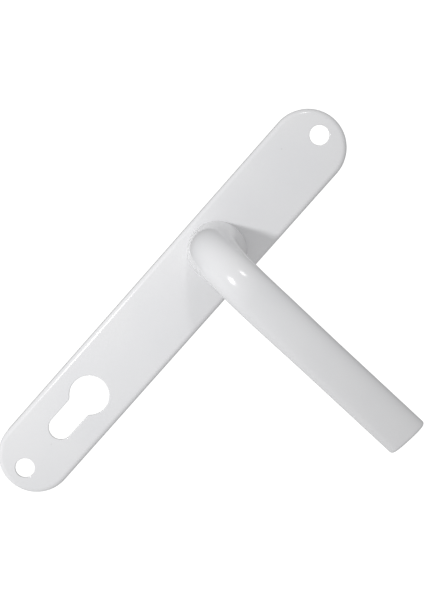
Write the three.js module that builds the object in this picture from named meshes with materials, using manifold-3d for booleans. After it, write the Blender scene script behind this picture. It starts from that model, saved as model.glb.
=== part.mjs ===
// Door lever handle on a long narrow backplate, with a euro profile cut-out below the lever.
//
// Millimetres. +Z runs up the backplate, +X along the lever's grip, +Y into the door.
// The origin is on the spindle's axis, in the plane of the door's face: the backplate stands
// from y = 0 to y = -PLATE_DEPTH, and the lever stands further out along -Y.

import * as THREE from 'three';
import { mergeVertices } from 'three/addons/utils/BufferGeometryUtils.js';
import Module from 'manifold-3d';

const wasm = await Module();
wasm.setup();

// ---- driving dimensions ---------------------------------------------------------------------

const GAP = 0.3; // clearance between pieces that touch

const PLATE_WIDTH = 33.4;
const PLATE_DEPTH = 11;
const PLATE_FILLET = 3; // rounding of the front edge
const SKIN = 1.2; // sheet thickness of the cover plate
const SCREW_HOLE_ZS = [66.5, -128.5]; // face-fixing screws, 195 apart
const SCREW_HOLE_R = 4.2;
const END_MARGIN = 9.4; // from a screw hole's centre to the plate's tip

const EURO_Z = -85; // the cylinder's centre: 85 below the spindle
const EURO_R = 8.85;
const EURO_SLOT_R = 5.35; // half the width of the slot below the cylinder's round part
const EURO_SLOT_DROP = 18.9; // from the cylinder's centre to the centre of the slot's round end
const EURO_RELIEF = 2.6; // the frame's opening stands back from the cover's by this much
const SCREW_OPENING_R = 7;

const FRAME_FLOOR = 1; // frame thickness behind the cover plate
const POCKET_R = 12.6; // round pocket of the return spring
const REBATE = { halfWidth: 13.8, halfHeight: 20.3, depth: 2.5, corner: 3 };
const COVER_THICKNESS = 0.8;
const COVER_SCREW_XZ = [9.6, 16.4];
const COVER_SCREW = { shankR: 1.15, headR: 2.4, headHeight: 1, length: 6, slotLength: 2.64, slotWidth: 0.6 };

const CELL = { width: 12.4, height: 11, corner: 1.5, centreX: 7.2 };
const CELL_ROW_ZS = [51.5, 28.5, -28.5, -51.5, -64.5];
const STUD_ZS = [40, -40];
const STUD_R = 1.5;
const NUT = { outerR: 4.2, thickness: 0.6, recess: 2, dish: 0.5 };

const SHANK_R = 7.5;
const SHANK_FLAT = 6.6; // half the distance across the shank's two flats
const SHANK_END = 3.9; // how far the shank passes the door's face
const BUSH_WALL = 0.7;
const BUSH_FLANGE = { radius: 9.4, thickness: 0.8 };

const SPINDLE_SIDE = 8;
const SPINDLE_FRONT = -25;
const SPINDLE_BACK = 50;
const SOCKET_SIDE = SPINDLE_SIDE + 2 * GAP;

const SPRING_WIRE_R = 0.6;
const SPRING_COIL_R = 9.8;
const SPRING_LEG_R = 12.2;
const SPRING_FIXED_LEG = 126.5; // degrees, from +X towards +Z
const SPRING_MOVING_LEG = 264;
const SPRING_WHOLE_TURNS = 2; // the coil runs from one leg past the other, back by this many turns
const SPRING_BEND = 8; // degrees taken by the bend from coil to leg
const SPRING_COIL_STEPS = 40;
const SPRING_STEPS = { along: 72, round: 4 };

const CAM_THICKNESS = 1.2;
const CAM_DISC_R = 9.5;
const CAM_ARM_R = 12.2;
const CAM_ARM = { centre: 90, half: 12 };
const CAM_TANG = { centre: 272.5, half: 4, innerR: 10.9, reach: 1.6 };
const TURN_LIMIT = 45; // degrees the lever turns down
const STOP_CLEARANCE = 1.5; // degrees left between the cam's arm and a stop
const STOP_WIDTH = 16.5; // degrees that a stop takes up
const STOP_INNER_R = 10.8;

const WASHER = { outerR: 10, thickness: 0.7 };
const WAVE = { outerR: 9.8, thickness: 0.4, rise: 0.8, crests: 3 };
const WAVE_STEPS = 48;
const CLIP = { outerR: 9, thickness: 1, grooveR: 6.9, mouth: 50 };
const CLIP_LUG = { radius: 1.4, at: 9.2, turn: 33.75, holeR: 0.6 };

const BASE_R = 13; // the conical neck's round foot; heights here are measured out from the plate's face
const NECK_TOP = 19; // where the elbow starts
const GRIP_FRONT = 52;
const GRIP_BACK = 41;
const NECK_HALF = 10.9; // half the lever's breadth at the neck's top and at the elbow's end
const ELBOW_HALF = 9.4;
const GRIP_HALF = 9.15;
const NECK_OUTER_X = -12.2;
const NECK_INNER_XS = [BASE_R, 11.9, 10.5, 10.3]; // control points from the neck's base to its top
const ELBOW_ROUND = 33; // radius of the elbow's outer side
const ELBOW_INNER = [[10.3, 32], [18, GRIP_BACK], [36, GRIP_BACK]]; // control points after the neck's top
const LEVER_REACH = 107; // from the spindle's axis to the end of the grip
const GRIP_DROOP = 1.5; // degrees the grip leans below level
const END_SLANT = 3.5; // degrees the end leans, its upper corner further out
const END_ROUND = 1.2;
const GRIP_SQUARENESS = 2.5; // exponent of the grip's section; 2 would be an ellipse
const SETTLE = 0.4; // share of the grip over which its section settles
const GRUB = { height: 12, radius: 2.5, length: 5, socketR: 1.45, socketDepth: 2.4 };

const ROUND_STEPS = 36; // steps in a full turn of the lever's section
const NECK_STEPS = 3;
const ELBOW_STEPS = 14;
const GRIP_STEPS = 5;
const END_STEPS = 4;
const WIDE_R = 4; // rounds larger than this get the finer steps
const ARC_STEPS = { wide: 10, small: 5, corner: 2 }; // half the steps in one arc of an outline

// ---- places worked out from them --------------------------------------------------------------

const PLATE_FRONT = -PLATE_DEPTH;
const PLATE_TIP_ZS = [SCREW_HOLE_ZS[0] + END_MARGIN, SCREW_HOLE_ZS[1] - END_MARGIN];
const SKIN_BACK = PLATE_FRONT + SKIN;
const FRAME_FRONT = SKIN_BACK + GAP;
const POCKET_FLOOR = FRAME_FRONT + FRAME_FLOOR;
const REBATE_FLOOR = -REBATE.depth;
const COVER_FRONT = REBATE_FLOOR + GAP;
const COVER_BACK = COVER_FRONT + COVER_THICKNESS;
const CAM_BACK = REBATE_FLOOR - GAP;
const CAM_FRONT = CAM_BACK - CAM_THICKNESS;
const WASHER_FRONT = COVER_BACK + GAP;
const WAVE_FRONT = WASHER_FRONT + WASHER.thickness + GAP;
const CLIP_FRONT = WAVE_FRONT + WAVE.thickness + WAVE.rise + GAP;
const BUSH_OUTER_R = SHANK_R + GAP + BUSH_WALL;
const LEVER_BASE = PLATE_FRONT - GAP;
const RECESS_FLOOR = LEVER_BASE - BUSH_FLANGE.thickness - GAP;
const QUARTER_ROUND = 0.5523; // reach of a cubic's handles for a quarter circle of radius 1
const ELBOW_END = NECK_OUTER_X + ELBOW_ROUND;
const GRIP_LENGTH = LEVER_REACH - ELBOW_END;
const CUT = 20; // how far a cutting tool runs past the face that it cuts through

const radians = (degrees) => THREE.MathUtils.degToRad(degrees);

// ---- materials --------------------------------------------------------------------------------

const enamel = () => new THREE.MeshStandardMaterial({ color: 0xf0f0f2, roughness: 0.28, metalness: 0 });
const nylon = () => new THREE.MeshStandardMaterial({ color: 0xcfcdc6, roughness: 0.6, metalness: 0 });
const acetal = () => new THREE.MeshStandardMaterial({ color: 0xe9e7e0, roughness: 0.4, metalness: 0 });
const zinc = () => new THREE.MeshStandardMaterial({ color: 0xb9bcc0, roughness: 0.38, metalness: 1 });
const springSteel = () => new THREE.MeshStandardMaterial({ color: 0x55575c, roughness: 0.35, metalness: 1 });

// ---- solids -----------------------------------------------------------------------------------

/** A closed geometry as a solid, its shared vertices merged and its empty triangles left out. */
function solid(geometry) {
  const bare = geometry.clone();
  bare.deleteAttribute('normal');
  bare.deleteAttribute('uv');
  const merged = mergeVertices(bare);
  const index = merged.index.array;
  const kept = [];
  for (let i = 0; i < index.length; i += 3) {
    const [a, b, c] = [index[i], index[i + 1], index[i + 2]];
    if (a !== b && b !== c && c !== a) kept.push(a, b, c);
  }
  return new wasm.Manifold(new wasm.Mesh({
    numProp: 3,
    vertProperties: merged.attributes.position.array,
    triVerts: Uint32Array.from(kept),
  }));
}

/** A solid as a named mesh. */
function piece(name, body, material) {
  const { vertProperties, triVerts } = body.getMesh();
  const geometry = new THREE.BufferGeometry();
  geometry.setAttribute('position', new THREE.BufferAttribute(vertProperties, 3));
  geometry.setIndex(new THREE.BufferAttribute(triVerts, 1));
  geometry.computeVertexNormals();
  const mesh = new THREE.Mesh(geometry, material);
  mesh.name = name;
  return mesh;
}

/** A plate whose outline is drawn in X and Z, between two depths along Y. */
function slab(outline, back, front, curveSegments = ARC_STEPS.wide) {
  const depth = back - front;
  const geometry = new THREE.ExtrudeGeometry(outline, { depth, bevelEnabled: false, curveSegments });
  geometry.rotateX(Math.PI / 2);
  geometry.translate(0, back, 0);
  return solid(geometry);
}

function circle(radius, x = 0, z = 0) {
  return new THREE.Shape().absarc(x, z, radius, 0, 2 * Math.PI, false);
}

function roundSteps(radius) {
  return radius > WIDE_R ? ARC_STEPS.wide : ARC_STEPS.small;
}

function disc(radius, back, front, x = 0, z = 0) {
  return slab(circle(radius, x, z), back, front, roundSteps(radius));
}

function ring(outerR, innerR, back, front, x = 0, z = 0) {
  const outline = circle(outerR, x, z);
  outline.holes.push(circle(innerR, x, z));
  return slab(outline, back, front, roundSteps(outerR));
}

/** The slice of a ring between two radii, either side of a direction in degrees. */
function wedge(innerR, outerR, centre, half) {
  const [from, to] = [radians(centre - half), radians(centre + half)];
  return new THREE.Shape().absarc(0, 0, outerR, from, to, false).absarc(0, 0, innerR, to, from, true);
}

function roundedRectangle(x, z, width, height, corner) {
  const [right, top] = [x + width / 2 - corner, z + height / 2 - corner];
  const [left, bottom] = [x - width / 2 + corner, z - height / 2 + corner];
  return new THREE.Shape()
    .absarc(right, top, corner, 0, Math.PI / 2, false)
    .absarc(left, top, corner, Math.PI / 2, Math.PI, false)
    .absarc(left, bottom, corner, Math.PI, 1.5 * Math.PI, false)
    .absarc(right, bottom, corner, 1.5 * Math.PI, 2 * Math.PI, false);
}

/** A long outline with a half circle at each end. */
function stadium(halfWidth, top, bottom) {
  return new THREE.Shape()
    .absarc(0, top - halfWidth, halfWidth, 0, Math.PI, false)
    .absarc(0, bottom + halfWidth, halfWidth, Math.PI, 2 * Math.PI, false);
}

/** The plate's outline drawn in by inset, from back to front, its front edge rounded. */
function plateBlock(inset, back, front, fillet) {
  const outline = stadium(PLATE_WIDTH / 2 - inset - fillet, PLATE_TIP_ZS[0] - inset - fillet,
    PLATE_TIP_ZS[1] + inset + fillet);
  const geometry = new THREE.ExtrudeGeometry(outline, {
    depth: back + CUT - front - fillet,
    curveSegments: ARC_STEPS.wide,
    bevelThickness: fillet,
    bevelSize: fillet,
    bevelSegments: 3,
  });
  geometry.rotateX(Math.PI / 2);
  geometry.translate(0, back + CUT, 0);
  const behind = new THREE.BoxGeometry(4 * PLATE_WIDTH, 2 * CUT, 4 * PLATE_TIP_ZS[0] - 4 * PLATE_TIP_ZS[1]);
  behind.translate(0, back + CUT, 0);
  return solid(geometry).subtract(solid(behind));
}

/** The euro profile: a circle with a round-ended slot below it, drawn out by margin. */
function euroOutline(margin = 0) {
  const [round, slot] = [EURO_R + margin, EURO_SLOT_R + margin];
  const shoulder = Math.asin(slot / round);
  return new THREE.Shape()
    .absarc(0, EURO_Z, round, -Math.PI / 2 + shoulder, 1.5 * Math.PI - shoulder, false)
    .absarc(0, EURO_Z - EURO_SLOT_DROP, slot, Math.PI, 2 * Math.PI, false);
}

// ---- backplate --------------------------------------------------------------------------------

function coverPlate() {
  let body = plateBlock(0, 0, PLATE_FRONT, PLATE_FILLET)
    .subtract(plateBlock(SKIN, 1, SKIN_BACK, PLATE_FILLET - SKIN))
    .subtract(disc(BUSH_OUTER_R + GAP, 0, PLATE_FRONT - 1))
    .subtract(slab(euroOutline(), 0, PLATE_FRONT - 1));
  for (const z of SCREW_HOLE_ZS) body = body.subtract(disc(SCREW_HOLE_R, 0, PLATE_FRONT - 1, 0, z));
  return piece('cover_plate', body, enamel());
}

/** The stops that the cam's arm meets at each end of its turn, as directions of their middles. */
function stopDirections() {
  const reach = CAM_ARM.half + STOP_CLEARANCE + STOP_WIDTH / 2;
  return [CAM_ARM.centre + reach, CAM_ARM.centre - TURN_LIMIT - reach];
}

/** The round pocket, less the two stops that stand in from its wall. */
function springPocket() {
  let pocket = disc(POCKET_R, CUT, POCKET_FLOOR);
  for (const direction of stopDirections()) {
    const stop = wedge(STOP_INNER_R, POCKET_R + 1, direction, STOP_WIDTH / 2);
    pocket = pocket.subtract(slab(stop, REBATE_FLOOR, POCKET_FLOOR, ARC_STEPS.corner));
  }
  return pocket;
}

function coverScrewPlaces() {
  const [x, z] = COVER_SCREW_XZ;
  return [[x, z], [-x, z], [-x, -z], [x, -z]];
}

function supportFrame() {
  const through = FRAME_FRONT - 1;
  const { halfWidth, halfHeight, corner } = REBATE;
  const rebate = roundedRectangle(0, 0, 2 * halfWidth, 2 * halfHeight, corner);
  let body = plateBlock(SKIN + GAP, 0, FRAME_FRONT, PLATE_FILLET - SKIN - GAP)
    .subtract(springPocket())
    .subtract(slab(rebate, CUT, REBATE_FLOOR, ARC_STEPS.corner))
    .subtract(disc(BUSH_OUTER_R + GAP, 0, through))
    .subtract(slab(euroOutline(EURO_RELIEF), CUT, through));
  for (const z of SCREW_HOLE_ZS) body = body.subtract(disc(SCREW_OPENING_R, CUT, through, 0, z));
  for (const z of CELL_ROW_ZS) {
    for (const side of [1, -1]) {
      const cell = roundedRectangle(side * CELL.centreX, z, CELL.width, CELL.height, CELL.corner);
      body = body.subtract(slab(cell, CUT, POCKET_FLOOR, ARC_STEPS.corner));
    }
  }
  for (const z of STUD_ZS) {
    body = body.subtract(disc(STUD_R + GAP, CUT, through, 0, z))
      .subtract(disc(NUT.outerR + GAP, CUT, -NUT.recess, 0, z));
  }
  const pilotFloor = COVER_BACK - COVER_SCREW.length;
  for (const [x, z] of coverScrewPlaces()) {
    body = body.subtract(disc(COVER_SCREW.shankR + GAP, CUT, pilotFloor, x, z));
  }
  return piece('support_frame', body, nylon());
}

/** Stud on the inside of the cover plate, and the push nut that holds the frame on it. */
function frameFixing(z, place) {
  const stud = disc(STUD_R, -NUT.dish, SKIN_BACK + GAP, 0, z);
  const front = -NUT.recess + GAP;
  const nut = ring(NUT.outerR, STUD_R + GAP, front + NUT.thickness, front, 0, z);
  return [
    piece(`frame_stud_${place}`, stud, zinc()),
    piece(`push_nut_${place}`, nut, springSteel()),
  ];
}

function bearingBush() {
  const flange = ring(BUSH_FLANGE.radius, SHANK_R + GAP, LEVER_BASE, LEVER_BASE - BUSH_FLANGE.thickness);
  const barrel = ring(BUSH_OUTER_R, SHANK_R + GAP, POCKET_FLOOR, LEVER_BASE - BUSH_FLANGE.thickness / 2);
  return piece('bearing_bush', flange.add(barrel), acetal());
}

function housingCover() {
  const { halfWidth, halfHeight, corner } = REBATE;
  const outline = roundedRectangle(0, 0, 2 * (halfWidth - GAP), 2 * (halfHeight - GAP), corner - GAP);
  let body = slab(outline, COVER_BACK, COVER_FRONT, ARC_STEPS.corner)
    .subtract(disc(SHANK_R + GAP, 0, 2 * COVER_FRONT));
  for (const [x, z] of coverScrewPlaces()) {
    body = body.subtract(disc(COVER_SCREW.shankR + GAP, 0, 2 * COVER_FRONT, x, z));
  }
  return piece('housing_cover', body, zinc());
}

function coverScrew([x, z], number) {
  const { shankR, headR, headHeight, length, slotLength, slotWidth } = COVER_SCREW;
  const seat = COVER_BACK + GAP;
  const head = disc(headR, seat + headHeight, seat, x, z);
  const shank = disc(shankR, seat + headHeight / 2, seat - length, x, z);
  let body = head.add(shank);
  for (const turn of [0, Math.PI / 2]) {
    const bar = new THREE.BoxGeometry(slotLength, headHeight, slotWidth);
    bar.rotateY(turn);
    bar.translate(x, seat + headHeight, z);
    body = body.subtract(solid(bar));
  }
  return piece(`cover_screw_${number}`, body, zinc());
}

// ---- return spring and cam --------------------------------------------------------------------

/** The spring's centre line: a leg out to the pocket's wall, the coil, and the second leg. */
function springLine() {
  const front = POCKET_FLOOR + GAP + SPRING_WIRE_R;
  const back = CAM_FRONT - GAP - SPRING_WIRE_R;
  const turn = SPRING_FIXED_LEG - SPRING_MOVING_LEG + 360 * SPRING_WHOLE_TURNS;
  const at = (r, degrees, y) => {
    const direction = radians(degrees);
    return new THREE.Vector3(r * Math.cos(direction), y, r * Math.sin(direction));
  };
  const points = [at(SPRING_LEG_R, SPRING_FIXED_LEG, front), at(SPRING_COIL_R + 1, SPRING_FIXED_LEG, front)];
  for (let i = 0; i <= SPRING_COIL_STEPS; i += 1) {
    const part = i / SPRING_COIL_STEPS;
    const degrees = SPRING_FIXED_LEG - SPRING_BEND - part * (turn - 2 * SPRING_BEND);
    points.push(at(SPRING_COIL_R, degrees, front + part * (back - front)));
  }
  points.push(at(SPRING_COIL_R + 1, SPRING_MOVING_LEG, back), at(SPRING_LEG_R, SPRING_MOVING_LEG, back));
  return new THREE.CatmullRomCurve3(points, false, 'centripetal');
}

function returnSpring() {
  const wire = new THREE.ExtrudeGeometry(circle(SPRING_WIRE_R), {
    steps: SPRING_STEPS.along, curveSegments: SPRING_STEPS.round, extrudePath: springLine(),
  });
  return piece('return_spring', solid(wire), springSteel());
}

/** The round of the shank with its two flats, drawn out by margin. */
function flattedRound(margin) {
  const [radius, flat] = [SHANK_R + margin, SHANK_FLAT + margin];
  const angle = Math.acos(flat / radius);
  return new THREE.Shape()
    .absarc(0, 0, radius, angle, Math.PI - angle, false)
    .absarc(0, 0, radius, Math.PI + angle, 2 * Math.PI - angle, false);
}

function camPlate() {
  const arm = wedge(SHANK_R + 1, CAM_ARM_R, CAM_ARM.centre, CAM_ARM.half);
  const spoke = wedge(SHANK_R + 1, CAM_ARM_R, CAM_TANG.centre, CAM_TANG.half);
  const tang = wedge(CAM_TANG.innerR, CAM_ARM_R, CAM_TANG.centre, CAM_TANG.half);
  const body = disc(CAM_DISC_R, CAM_BACK, CAM_FRONT)
    .add(slab(arm, CAM_BACK, CAM_FRONT, ARC_STEPS.corner))
    .add(slab(spoke, CAM_BACK, CAM_FRONT, ARC_STEPS.corner))
    .add(slab(tang, CAM_BACK - CAM_THICKNESS / 2, CAM_FRONT - CAM_TANG.reach, ARC_STEPS.corner))
    .subtract(slab(flattedRound(GAP), CAM_BACK + 1, CAM_FRONT - 1, ARC_STEPS.small));
  return piece('cam_plate', body, zinc());
}

// ---- rings behind the backplate ----------------------------------------------------------------

function thrustWasher() {
  const body = ring(WASHER.outerR, SHANK_R + GAP, WASHER_FRONT + WASHER.thickness, WASHER_FRONT);
  return piece('thrust_washer', body, zinc());
}

/** A flat ring bent into waves: each point of the ring is moved back by its place in the wave. */
function waveWasher() {
  const section = [
    [SHANK_R + GAP, 0], [WAVE.outerR, 0], [WAVE.outerR, WAVE.thickness], [SHANK_R + GAP, WAVE.thickness],
    [SHANK_R + GAP, 0],
  ].map(([r, y]) => new THREE.Vector2(r, y));
  const geometry = new THREE.LatheGeometry(section, WAVE_STEPS);
  const place = geometry.attributes.position;
  for (let i = 0; i < place.count; i += 1) {
    const direction = Math.atan2(place.getZ(i), place.getX(i));
    const rise = WAVE.rise * (1 + Math.cos(WAVE.crests * direction)) / 2;
    place.setY(i, place.getY(i) + rise + WAVE_FRONT);
  }
  return piece('wave_washer', solid(geometry), springSteel());
}

/** Open ring in the shank's groove, with an eye at each side of its mouth. */
function circlip() {
  const back = CLIP_FRONT + CLIP.thickness;
  const edge = radians(CLIP.mouth / 2);
  const [reach, spread] = [CUT * Math.cos(edge), CUT * Math.sin(edge)];
  const mouth = new THREE.Shape().moveTo(0, 0).lineTo(reach, -spread).lineTo(reach, spread);
  let body = ring(CLIP.outerR, CLIP.grooveR + GAP, back, CLIP_FRONT).subtract(slab(mouth, CUT, -CUT));
  for (const side of [1, -1]) {
    const turn = side * radians(CLIP_LUG.turn);
    const [x, z] = [CLIP_LUG.at * Math.cos(turn), CLIP_LUG.at * Math.sin(turn)];
    body = body.add(disc(CLIP_LUG.radius, back, CLIP_FRONT, x, z))
      .subtract(disc(CLIP_LUG.holeR, back + 1, CLIP_FRONT - 1, x, z));
  }
  return piece('circlip', body, springSteel());
}

// ---- lever ------------------------------------------------------------------------------------

/** The lever's two sides in its own plane: x along the grip, y as height from the plate. */
function leverSides() {
  const at = (x, height) => new THREE.Vector2(x, height);
  const neckHeight = (part) => THREE.MathUtils.lerp(GAP, NECK_TOP, part);
  const handle = QUARTER_ROUND * ELBOW_ROUND;
  const outer = [
    new THREE.LineCurve(at(-BASE_R, GAP), at(NECK_OUTER_X, NECK_TOP)),
    new THREE.CubicBezierCurve(at(NECK_OUTER_X, NECK_TOP), at(NECK_OUTER_X, NECK_TOP + handle),
      at(ELBOW_END - handle, GRIP_FRONT), at(ELBOW_END, GRIP_FRONT)),
    new THREE.LineCurve(at(ELBOW_END, GRIP_FRONT), at(LEVER_REACH, GRIP_FRONT)),
  ];
  const neckInner = NECK_INNER_XS.map((x, i) => at(x, neckHeight(i / 3)));
  const elbowInner = ELBOW_INNER.map(([x, height]) => at(x, height));
  const inner = [
    new THREE.CubicBezierCurve(...neckInner),
    new THREE.CubicBezierCurve(neckInner[3], ...elbowInner),
    new THREE.LineCurve(elbowInner[2], at(LEVER_REACH, GRIP_BACK)),
  ];
  return { outer, inner };
}

/** Half the lever's breadth across the grip, on the neck, round the elbow and along the grip. */
function halfBreadth(stretch, along) {
  const { lerp, smoothstep } = THREE.MathUtils;
  if (stretch === 0) return lerp(BASE_R, NECK_HALF, along);
  if (stretch === 1) return lerp(ELBOW_HALF, NECK_HALF, (1 - along) ** 3);
  return lerp(ELBOW_HALF, GRIP_HALF, smoothstep(along, 0, SETTLE));
}

/** How much the section draws in, this far before the rounded end. */
function endInset(before) {
  const rest = Math.max(0, END_ROUND - before);
  return END_ROUND - Math.sqrt(END_ROUND ** 2 - rest ** 2);
}

/** Stations along the lever: which stretch it is on and how far along that. */
function leverStations() {
  const stations = [];
  for (let i = 0; i < NECK_STEPS; i += 1) stations.push([0, i / NECK_STEPS]);
  for (let i = 0; i < ELBOW_STEPS; i += 1) stations.push([1, i / ELBOW_STEPS]);
  for (let i = 0; i < GRIP_STEPS; i += 1) stations.push([2, i / GRIP_STEPS]);
  for (let i = END_STEPS; i >= 0; i -= 1) {
    const before = END_ROUND * (1 - Math.cos(i * Math.PI / 2 / END_STEPS));
    stations.push([2, 1 - before / GRIP_LENGTH]);
  }
  return stations;
}

/** A drum whose rings are moved to the lever's stations and shaped to its section there. */
function leverOuterBody() {
  const { outer, inner } = leverSides();
  const stations = leverStations();
  const { lerp, smoothstep } = THREE.MathUtils;
  const geometry = new THREE.CylinderGeometry(1, 1, 1, ROUND_STEPS, stations.length - 1);
  const place = geometry.attributes.position;
  const squared = (value, exponent) => Math.sign(value) * Math.abs(value) ** (2 / exponent);
  const slant = Math.tan(radians(END_SLANT));
  for (let i = 0; i < place.count; i += 1) {
    const [stretch, along] = stations[Math.round((0.5 - place.getY(i)) * (stations.length - 1))];
    const a = outer[stretch].getPoint(along);
    const b = inner[stretch].getPoint(along);
    const gripShare = stretch === 2 ? along : 0;
    const exponent = lerp(2, GRIP_SQUARENESS, smoothstep(gripShare, 0, SETTLE));
    const inset = stretch === 2 ? endInset((1 - gripShare) * GRIP_LENGTH) : 0;
    const middle = a.clone().add(b).multiplyScalar(0.5);
    const reach = a.clone().sub(b).multiplyScalar(0.5);
    reach.setLength(reach.length() - inset);
    const out = squared(place.getX(i), exponent);
    const across = -squared(place.getZ(i), exponent);
    const z = across * (halfBreadth(stretch, along) - inset);
    const x = middle.x + out * reach.x + slant * gripShare * z;
    place.setXYZ(i, x, PLATE_FRONT - middle.y - out * reach.y, z);
  }
  geometry.rotateY(radians(GRIP_DROOP));
  return solid(geometry);
}

function leverShank() {
  const groove = ring(SHANK_R + 1, CLIP.grooveR, CLIP_FRONT + CLIP.thickness + GAP, CLIP_FRONT - GAP);
  let body = disc(SHANK_R, SHANK_END, RECESS_FLOOR - 1).subtract(groove);
  for (const side of [1, -1]) {
    const flat = new THREE.BoxGeometry(2, SHANK_END + CUT, 2 * SHANK_R);
    flat.translate(side * (SHANK_FLAT + 1), CAM_FRONT - GAP + (SHANK_END + CUT) / 2, 0);
    body = body.subtract(solid(flat));
  }
  return body;
}

function leverHandle() {
  const socket = new THREE.BoxGeometry(SOCKET_SIDE, CUT - SPINDLE_FRONT + GAP, SOCKET_SIDE);
  socket.translate(0, (CUT + SPINDLE_FRONT - GAP) / 2, 0);
  const grubHole = new THREE.CylinderGeometry(GRUB.radius + GAP, GRUB.radius + GAP, CUT, 2 * ARC_STEPS.small);
  grubHole.rotateX(Math.PI / 2);
  grubHole.translate(0, PLATE_FRONT - GRUB.height, -CUT / 2);
  const body = leverOuterBody()
    .subtract(disc(BUSH_FLANGE.radius + GAP, 0, RECESS_FLOOR))
    .add(leverShank())
    .subtract(solid(socket))
    .subtract(solid(grubHole));
  return piece('lever_handle', body, enamel());
}

function squareSpindle() {
  const edge = 0.8;
  const outline = roundedRectangle(0, 0, SPINDLE_SIDE, SPINDLE_SIDE, edge);
  return piece('square_spindle', slab(outline, SPINDLE_BACK, SPINDLE_FRONT, ARC_STEPS.corner), zinc());
}

/** Grub screw under the neck, with a hexagon socket in its outer end. */
function grubScrew() {
  const inner = -SPINDLE_SIDE / 2 - GAP;
  const shaft = new THREE.CylinderGeometry(GRUB.radius, GRUB.radius, GRUB.length, 2 * ARC_STEPS.small);
  const socket = new THREE.CylinderGeometry(GRUB.socketR, GRUB.socketR, 2 * GRUB.socketDepth, 6);
  socket.translate(0, GRUB.length / 2, 0);
  for (const geometry of [shaft, socket]) {
    geometry.rotateX(-Math.PI / 2);
    geometry.translate(0, PLATE_FRONT - GRUB.height, inner - GRUB.length / 2);
  }
  return piece('grub_screw', solid(shaft).subtract(solid(socket)), zinc());
}

// ---- the whole handle --------------------------------------------------------------------------

const backplate = new THREE.Group();
backplate.add(coverPlate(), supportFrame(), bearingBush(), housingCover(), returnSpring());
backplate.add(...frameFixing(STUD_ZS[0], 'upper'), ...frameFixing(STUD_ZS[1], 'lower'));
coverScrewPlaces().forEach((place, index) => backplate.add(coverScrew(place, index + 1)));

const lever = new THREE.Group();
lever.add(leverHandle(), squareSpindle(), grubScrew(), camPlate());
lever.add(thrustWasher(), waveWasher(), circlip());

const handle = new THREE.Group();
handle.add(backplate, lever);

export default handle;
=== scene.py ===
"""Looks of a door lever handle on a long narrow backplate with a euro profile cut-out.

The frame is in metres, +Z up the backplate, +X along the grip, +Y into the door, with the origin
on the spindle's axis in the plane of the door's face. The shapes here are drawn in millimetres
and scaled once, when their mesh is made.
"""
import math

import bmesh
import bpy
from mathutils import Matrix, Vector
from mathutils.geometry import tessellate_polygon

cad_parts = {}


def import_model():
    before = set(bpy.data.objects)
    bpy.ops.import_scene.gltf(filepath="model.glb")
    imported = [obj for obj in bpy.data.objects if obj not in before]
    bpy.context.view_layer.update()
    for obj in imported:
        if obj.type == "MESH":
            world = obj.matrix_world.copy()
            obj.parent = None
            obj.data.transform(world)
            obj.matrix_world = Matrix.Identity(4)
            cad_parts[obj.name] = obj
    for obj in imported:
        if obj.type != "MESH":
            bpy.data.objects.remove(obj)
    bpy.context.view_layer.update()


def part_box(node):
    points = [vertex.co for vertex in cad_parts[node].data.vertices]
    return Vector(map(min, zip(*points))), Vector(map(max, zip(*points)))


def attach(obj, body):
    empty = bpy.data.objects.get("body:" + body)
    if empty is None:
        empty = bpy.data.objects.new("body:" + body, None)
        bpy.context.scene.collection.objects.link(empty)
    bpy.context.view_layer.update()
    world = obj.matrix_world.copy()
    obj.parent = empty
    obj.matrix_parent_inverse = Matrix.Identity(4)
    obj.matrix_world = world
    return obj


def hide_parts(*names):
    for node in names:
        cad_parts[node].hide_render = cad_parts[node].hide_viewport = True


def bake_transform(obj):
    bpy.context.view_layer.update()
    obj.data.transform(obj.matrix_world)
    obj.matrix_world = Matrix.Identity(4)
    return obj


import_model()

MM = 0.001


def box(node):
    """A node's lowest and highest corners, in millimetres."""
    return [Vector(corner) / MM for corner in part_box(node)]


# ---- sizes, in millimetres -----------------------------------------------------------------------

GAP = 0.3  # clearance between neighbouring pieces

PLATE_LOW, PLATE_HIGH = box("cover_plate")
PLATE_FRONT = PLATE_LOW.y
PLATE_FILLET = 2.2
PLATE_SKIN = 1.2
PLATE_LIP = 0.3  # rounding of the pressed edge round each hole

END_MARGIN = 9.4  # from a screw hole's centre to the plate's tip
SCREW_HOLE_ZS = [PLATE_HIGH.z - END_MARGIN, PLATE_LOW.z + END_MARGIN]
SCREW_HOLE_R = 4.35
SCREW_OPENING_R = 7  # the wider opening behind each of them, through the frame
EURO_Z = -85
EURO_R = 8.85
EURO_SLOT_R = 5.35
EURO_SLOT_DROP = 19.3  # from the round part's centre to the slot's end centre
EURO_BLEND = 2.6
EURO_RELIEF, EURO_RELIEF_BLEND = 2.6, 0.8  # the frame's wider opening behind the euro cut-out

SHANK_R = 7.5
SHANK_FLAT = 6.6  # from the axis to each of the shank's two flats
BORE_R = SHANK_R + GAP  # of everything that is threaded on the shank
BUSH_HOLE_R = 8.8

POCKET_R = 12.6  # the spring's pocket in the frame
STOP_INNER_R = 10.8
STOPS = [(15, 31.5), (103.5, 120)]  # degrees that each stop takes up
REBATE_FLOOR = -2.5  # y of the housing cover's seat in the frame
NUT_FLOOR = -2  # y of the push nuts' seats
PILOT_FLOOR = -7.4  # y at which the cover screws' holes end
PILOT_R = 1.45
CELL_ROW_ZS = [51.5, 28.5, -28.5, -51.5, -64.5]  # rows of two hollows, one each side
CELL_X, CELL_WIDTH, CELL_HEIGHT = 7.2, 12.4, 11
STUD_R = 1.5
NUT_LOW, NUT_HIGH = box("push_nut_upper")
NUT_R = (NUT_HIGH.x - NUT_LOW.x) / 2
HOUSING_LOW, HOUSING_HIGH = box("housing_cover")
SCREW_BOXES = [box(f"cover_screw_{number}") for number in range(1, 5)]
SCREW_PLACES = [((low.x + high.x) / 2, (low.z + high.z) / 2) for low, high in SCREW_BOXES]
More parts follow.
